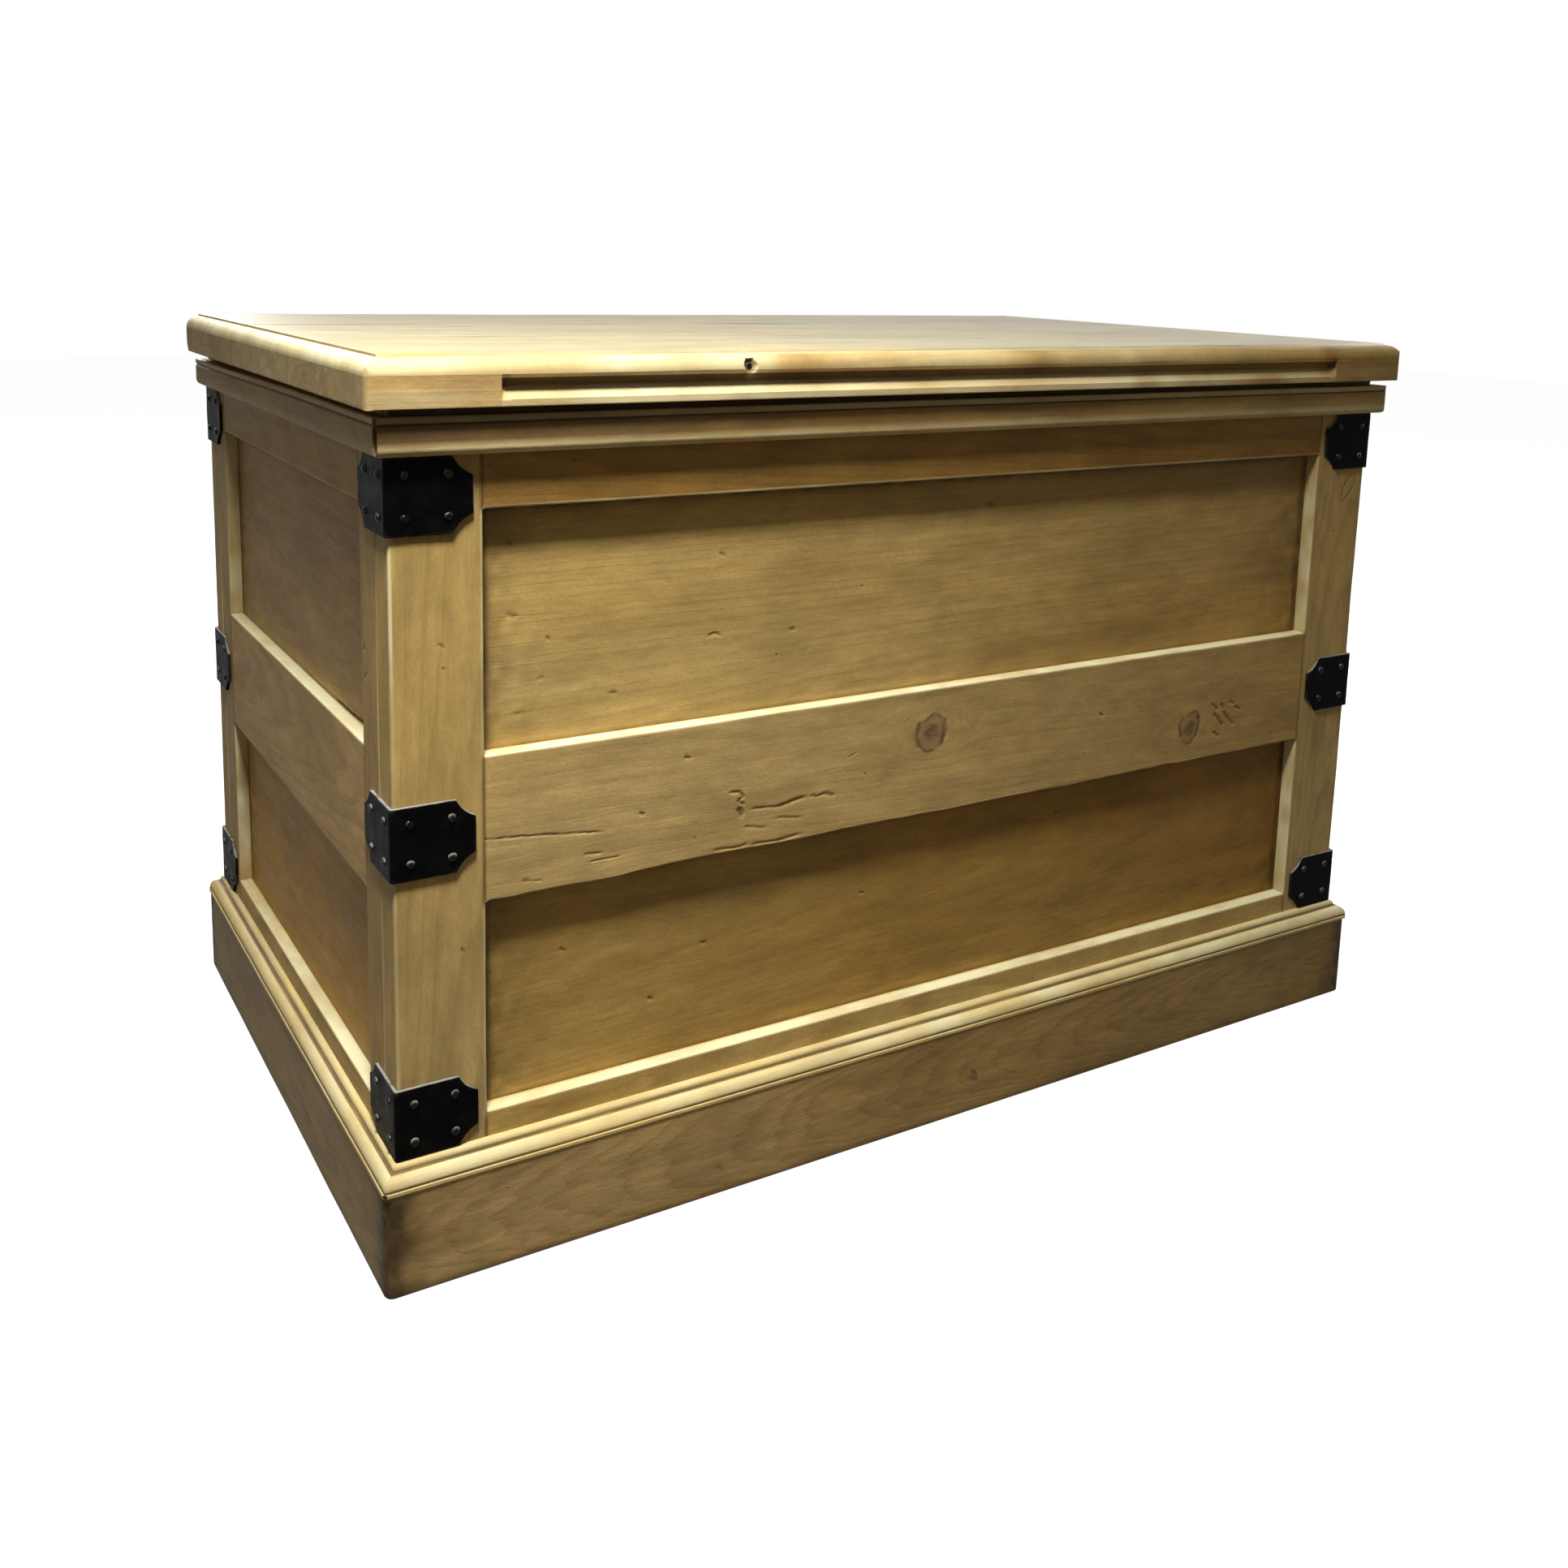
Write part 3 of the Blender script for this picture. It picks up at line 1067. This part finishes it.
def lid_board(name, y0, y1):
    """Board of the lid with its thumbnail edges; the front board has the groove and the nail hole."""
    front, hinged = y0 == LID_Y, y1 == BACK_Y
    board = Board(name, None, *lattice(*lid_lines(y0, y1, front, hinged)))
    points = board.points
    x, y, z = points.T
    on_top = z > SHOULDER - 1e-3
    face = (y < LID_Y + 0.01) & ~on_top
    from_end = LID_HALF - np.abs(x)
    from_front = y - y0 if front else np.full(len(x), 1e3)
    nearest = np.minimum(from_end, from_front)

    def rise(inset):
        return LID_R * np.sqrt(1 - np.clip(1 - inset / LID_R, 0, 1) ** 2)

    def quirk(inset, run):
        return LID_QUIRK * np.clip((inset - LID_R) / run, 0, 1)

    low, high = np.array([-LID_HALF, y0, LID_Z]), np.array([LID_HALF, y1, SHOULDER])
    lower = z < LID_Z + 6
    eased, _ = round_off(points, low, high, np.where(lower, 0.8, 0.02))
    shaped = np.where(lower[:, None], eased, points)
    height = np.minimum(rise(from_end), rise(from_front))
    height += np.minimum(quirk(from_end, 0.2), quirk(from_front, 3.0))
    shaped[:, 2] += np.where(on_top, height, 0)

    # upright corners eased round
    ease = 5.0
    across, ahead = np.maximum(ease - from_end, 0), np.maximum(ease - from_front, 0)
    pull = np.minimum(1, ease / np.maximum(np.hypot(across, ahead), 1e-6))
    at_corner = (across > 0) & (ahead > 0)
    shaped[:, 0] = np.where(at_corner, np.sign(x) * (LID_HALF - ease + across * pull), shaped[:, 0])
    shaped[:, 1] = np.where(at_corner, y0 + ease - ahead * pull, shaped[:, 1])

    def toned(where, tone):
        return np.asarray(where)[:, None] * np.array(TINT[tone])
    tint = np.array(TINT["lid"]) + np.array(TINT.get(name, (0, 0, 0)))

    # rubbed round, scrubbed top, dark quirk line, brown flecked ends and dark seams
    on_round = on_top & (nearest < LID_R - 0.5)
    scrubbed = on_top & (nearest > LID_R + 0.2)
    end_face = (from_end < 0.5) & ~on_top
    tint = tint + toned(scrubbed, "lid_scrubbed") + toned(end_face, "lid_end")
    uneven = 0.75 + 0.4 * board.cloud(50)
    fade = np.clip(1 - (x + 200) / 620, 0.15, 1)
    board.soil(WEAR, on_round, uneven * np.where(from_front < from_end, 0.66 * fade, 1.06))
    flecks = np.clip(2.4 * noise(points, 7.0, 2.0) - 0.75, 0, 1) * np.clip(0.7 + noise(points, 45, 6.0), 0, 1)
    board.soil(WEAR, end_face, 0.55 * flecks)
    board.soil(GRIME, on_top & (np.abs(from_end - LID_R) < 0.3), 0.15)
    seam = np.minimum(1e3 if front else np.abs(y - y0), 1e3 if hinged else np.abs(y - y1))
    board.soil(GRIME, seam < 0.5, np.where(on_top, 0.30, 0.75))
    shaped[:, 2] -= np.where(on_top & (seam < 0.3) & (nearest > LID_R), 0.25, 0)

    if hinged:
        beside = np.abs(np.abs(x) - HINGE_X)
        cut = LID_Z + pocket_depth(beside, y - (BACK_Y - HINGE_INSET))
        shaped[:, 2] = np.where(on_top, shaped[:, 2], np.maximum(shaped[:, 2], cut))
    if front:
        cut_groove(board, shaped, face, uneven)
        chip_nail_hole(board, shaped, face | on_top)
        # patches worn brown along the front edge, and a yellow stain by the left corner
        brown = np.clip(noise(points * [1, 0, 2.0], 38, 4.2) * 1.6 - 0.25, 0, 1)
        brown = brown * (on_top & (from_front < 7) | face) * np.clip((x + 330) / 160, 0.3, 1)
        board.state[:, WEAR] *= 1 - 0.8 * brown
        stain = np.exp(-((x + 452) / 26) ** 2 - ((y - y0 - 13) / 7) ** 2) * on_top
        tint = tint + toned(on_round * (1 - fade), "lid_round") + toned(face, "lid_face")
        tint = tint + toned(brown, "lid_brown") + toned(stain, "lid_stain")
    shaped[:, 2] += np.where(on_top & (nearest > LID_R + 1), 0.22 * board.cloud(90), 0)
    shaped[:, 1] += np.where(face, 0.15 * board.cloud(60), 0)
    board.make(shaped, board.grain(0, 1, 2), "pine_lid", "lid", 38, tint, z < LID_Z + 0.1, polish=scrubbed)


# Iron

def strap_height(distance):
    """Half height of a strap at a distance from its fold, with the hollow clipped corners."""
    chord = math.hypot(CLIP_W, CLIP_H)
    out = math.sqrt(CLIP_R ** 2 - chord ** 2 / 4)
    x = STRAP_LEAF - CLIP_W / 2 + out * CLIP_H / chord
    z = STRAP_H / 2 - CLIP_H / 2 + out * CLIP_W / chord
    cut = z - np.sqrt(np.maximum(CLIP_R ** 2 - (distance - x) ** 2, 0))
    return np.where(distance > STRAP_LEAF - CLIP_W, np.minimum(STRAP_H / 2, cut), STRAP_H / 2)


def corner_frame(name):
    """Corner point and the ways inward along its two faces."""
    x = 1 if "right" in name else -1
    y = 1 if "back" in name else -1
    origin = np.array([x * BODY_W / 2, BACK_Y if y > 0 else FRONT_Y])
    return origin, np.array([-x, 0.0]), np.array([0.0, -y])


def straps(corner):
    """Three folded iron straps round one corner."""
    name = f"{corner}_straps"
    origin, ax, ay = corner_frame(corner)
    clip = STRAP_LEAF - CLIP_W
    run = np.concatenate([np.linspace(0, clip, 15), np.linspace(clip, STRAP_LEAF, 12)[1:]])
    fold = arc(0, 0, STRAP_T, 195, 255, 5)
    plan = np.array([(-STRAP_T, reach) for reach in run[::-1]] + fold + [(reach, -STRAP_T) for reach in run])
    half_height = strap_height(np.concatenate([run[::-1], np.zeros(len(fold)), run]))
    back = np.maximum(plan, 0.0)
    rows = np.linspace(-1, 1, 15)
    mirrored = ax[0] * ay[1] - ax[1] * ay[0] < 0
    out = np.repeat(plan - back, len(rows), 0)
    out /= np.maximum(np.linalg.norm(out, axis=1), 1e-9)[:, None]
    out = out[:, :1] * ax + out[:, 1:] * ay

    def grid(flat, up):
        at = origin + flat[:, :1] * ax + flat[:, 1:] * ay
        return np.concatenate([np.repeat(at[:, None], len(rows), 1), up[..., None]], -1)
    parts = []
    for i, z in enumerate(STRAP_Z):
        up = z + rows * half_height[:, None]
        points, quads = slab(grid(plan, up), grid(back, up))
        hammered = 0.16 * noise(points, 16, i + 2.0)[:, None]
        points[:len(out), :2] += hammered[:len(out)] * out
        parts.append((points, quads[:, ::-1] if mirrored else quads))
    points, faces = joined(parts)
    rim = np.tile(rows > 0.99, len(points) // len(rows))
    obj = piece(name, points, faces, IRON, "carcass", "black_iron", {"rim": rim}, 45)
    ease_edges(obj, 0.0006, 50)


def nail(rng, foot, along, out, z):
    """Points and faces of a domed nail, not quite like the next."""
    lean = rng.uniform(-0.06, 0.06, 2)
    size = rng.uniform(0.94, 1.06)
    turn = rng.uniform(0, 6.28)
    angle = turn + np.linspace(0, 2 * math.pi, NAIL_SIDES, endpoint=False)
    wobble = 1 + 0.05 * np.sin(2 * angle + turn) + 0.03 * np.sin(3 * angle)
    rings = []
    for share, up in NAIL_STEPS:
        reach = NAIL_R * size * share * wobble
        across, rise = reach * np.cos(angle), reach * np.sin(angle)
        height = up * NAIL_H + lean[0] * across + lean[1] * rise
        flat = foot + across[:, None] * along + height[:, None] * out
        rings.append(np.column_stack([flat, z + rise]))
    rings.append(np.array([[*(foot + NAIL_H * out), z]]))
    faces = []
    tip = len(NAIL_STEPS) * NAIL_SIDES
    for row in range(0, tip, NAIL_SIDES):
        for k in range(NAIL_SIDES):
            a, b = row + k, row + (k + 1) % NAIL_SIDES
            above = [b + NAIL_SIDES, a + NAIL_SIDES] if row + NAIL_SIDES < tip else [tip]
            faces.append([a, b] + above)
    faces.append(list(range(NAIL_SIDES))[::-1])
    if np.cross([*along, 0], [0, 0, 1]) @ np.array([*out, 0]) < 0:
        faces = [face[::-1] for face in faces]
    return np.concatenate(rings), faces


def strap_nails():
    """Eight nails on each strap."""
    rng = seeded("strap_nails")
    nails = []
    for corner in CORNERS:
        origin, ax, ay = corner_frame(corner)
        leaves = ((ax, -ay), (ay, -ax))
        for z, x, row, (along, out) in itertools.product(STRAP_Z, NAIL_X, (-NAIL_ROW, NAIL_ROW), leaves):
            nails.append(nail(rng, origin + along * x + out * STRAP_T, along, out, z + row))
    piece("strap_nails", *joined(nails), NAIL, "carcass", "black_iron", {}, 60)


for wall in WALLS:
    for end in (0, 1):
        stile(wall, end)
    rail(wall, "bottom", FOOT, LOWER_0)
    rail(wall, "middle", LOWER_1, UPPER_0)
    rail(wall, "top", UPPER_1, RIM)
    if wall != "back":
        collar(wall)
    panel(wall, "lower", LOWER_0, LOWER_1)
    panel(wall, "upper", UPPER_0, UPPER_1)
    plinth(wall)
    plinth_cap(wall)
bottom_boards()
lid_board("lid_front_board", LID_Y, SEAM_1)
lid_board("lid_middle_board", SEAM_1, SEAM_2)
lid_board("lid_back_board", SEAM_2, BACK_Y)
for corner in CORNERS:
    straps(corner)
strap_nails()


# CAD nodes that stay, with eased edges and their own finish

BATTEN_PINE = pine("bare_pine_batten", 1, (0.30, -0.55))
BEARER_PINE = pine("bare_pine_bearer", 0, (0.02, 0.05))
KEPT = {
    "lid_left_batten": BATTEN_PINE,
    "lid_right_batten": BATTEN_PINE,
    "bottom_bearers": BEARER_PINE,
    "left_hinge_carcass_leaf": HINGE_IRON,
    "left_hinge_lid_leaf": HINGE_IRON,
    "left_hinge_pin": STEEL,
    "right_hinge_carcass_leaf": HINGE_IRON,
    "right_hinge_lid_leaf": HINGE_IRON,
    "right_hinge_pin": STEEL,
    "hinge_carcass_screws": STEEL,
    "lid_screws": STEEL,
    "lid_edge_nail": NAIL,
}
for name, material in KEPT.items():
    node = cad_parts[name]
    node.data.materials.clear()
    node.data.materials.append(material)
    weld = node.modifiers.new("joined", "WELD")
    weld.merge_threshold = 0.00001
    bevel = ease_edges(node, 0.0009 if "pine" in material.name else 0.0003, 42)
    bevel.harden_normals = True


# Studio

LAMPS = [
    # name, place, aim, power in watts, width in metres and spread in degrees
    ("key", (-0.59, -0.62, 1.50), (-0.37, -0.31, 0.12), 9.2, 0.22, 95),
    ("right", (2.3, 0.35, 1.1), (0.3, 0, 0.3), 20, 1.2, 180),
    ("back", (-0.42, 2.5, 1.5), (0, 0, 0.3), 27, 1.0, 180),
    ("over", (0.30, -0.78, 4.2), (0.1, -0.28, 0.3), 28, 0.35, 180),
]


def add_to_scene(name, data):
    obj = bpy.data.objects.new(name, data)
    bpy.context.scene.collection.objects.link(obj)
    return obj


def floor():
    """White paper to the camera, grey in reflections, and brown where it lights the trunk."""
    mesh = bpy.data.meshes.new("floor")
    mesh.from_pydata([(-9, -9, 0), (9, -9, 0), (9, 9, 0), (-9, 9, 0)], [], [(0, 1, 2, 3)])
    tree = Shader(bpy.data.materials.new("studio_floor"))
    path = tree.add("LightPath").outputs
    mirrored = tree.math("MAXIMUM", path["Is Glossy Ray"], path["Is Transmission Ray"])
    tone = tree.mix(path["Is Camera Ray"], rgb(0.16, 0.125, 0.085), rgb(0.85, 0.90, 1.0))
    tone = tree.mix(mirrored, tone, rgb(0.0, 0.0, 0.0))
    paper = tree.add("BsdfDiffuse", {"Color": tone}).outputs[0]
    level = tree.gain(path["Is Camera Ray"], 0.82, tree.times(mirrored, 0.45))
    glow = tree.add("Emission", {"Color": rgb(1, 1, 1), "Strength": level}).outputs[0]
    tree.add("OutputMaterial", {"Surface": tree.add("AddShader", {0: paper, 1: glow}).outputs[0]})
    mesh.materials.append(tree.owner)
    add_to_scene("floor", mesh)


def sky():
    """White to the camera, brightest at the back right in reflections, and a weak warm light."""
    world = bpy.data.worlds.new("studio")
    bpy.context.scene.world = world
    tree = Shader(world)
    path = tree.add("LightPath").outputs
    shown = tree.math("MAXIMUM", path["Is Camera Ray"], path["Is Glossy Ray"])
    shown = tree.math("MAXIMUM", shown, path["Is Transmission Ray"])
    x, y, _ = tree.add("SeparateXYZ", {0: tree.add("TexCoord").outputs["Generated"]}).outputs
    beyond = tree.steps(x, -0.3, 0.4, 0.35, tree.steps(y, -0.5, 0.3, 0.35, 1.0))
    strength = tree.steps(shown, 0.0, 1.0, 0.185, tree.math("MAXIMUM", path["Is Camera Ray"], beyond))
    tone = tree.mix(shown, rgb(1.0, 0.94, 0.82), rgb(1, 1, 1))
    light = tree.add("Background", {"Color": tone, "Strength": strength})
    tree.add("OutputWorld", {0: light.outputs[0]})


def lamp(name, at, aim, power, size, spread):
    data = bpy.data.lights.new(name, "AREA")
    data.energy = power
    data.shape = "DISK"
    data.size = size
    data.spread = math.radians(spread)
    obj = add_to_scene(name, data)
    obj.location = at
    obj.rotation_euler = (Vector(aim) - Vector(at)).to_track_quat("-Z", "Y").to_euler()


# The photograph's own view, fitted to the trunk's corners: pixels of its side, lens and optical centre, and
# the camera's place and axes
PHOTO_SIDE, PHOTO_LENS, PHOTO_X, PHOTO_Y = 1932, 1910.22, 975.41, 632.29
SENSOR = 36.0
EYE = (-0.758113, -1.247081, 0.714634)
RIGHT = Vector((0.855407, -0.517341, 0.025220))
UP = Vector((0.063549, 0.153150, 0.986157))
AHEAD = Vector((0.514043, 0.841964, -0.163882))


def camera():
    data = bpy.data.cameras.new("camera")
    data.sensor_width = SENSOR
    data.lens = PHOTO_LENS / PHOTO_SIDE * SENSOR
    data.shift_x = (PHOTO_SIDE / 2 - PHOTO_X) / PHOTO_SIDE
    data.shift_y = (PHOTO_Y - PHOTO_SIDE / 2) / PHOTO_SIDE
    data.clip_start, data.clip_end = 0.05, 60
    obj = add_to_scene("camera", data)
    obj.matrix_world = Matrix.Translation(EYE) @ Matrix((RIGHT, UP, -AHEAD)).transposed().to_4x4()
    bpy.context.scene.camera = obj


floor()
sky()
for settings in LAMPS:
    lamp(*settings)
camera()
bpy.context.scene.view_settings.view_transform = "Standard"
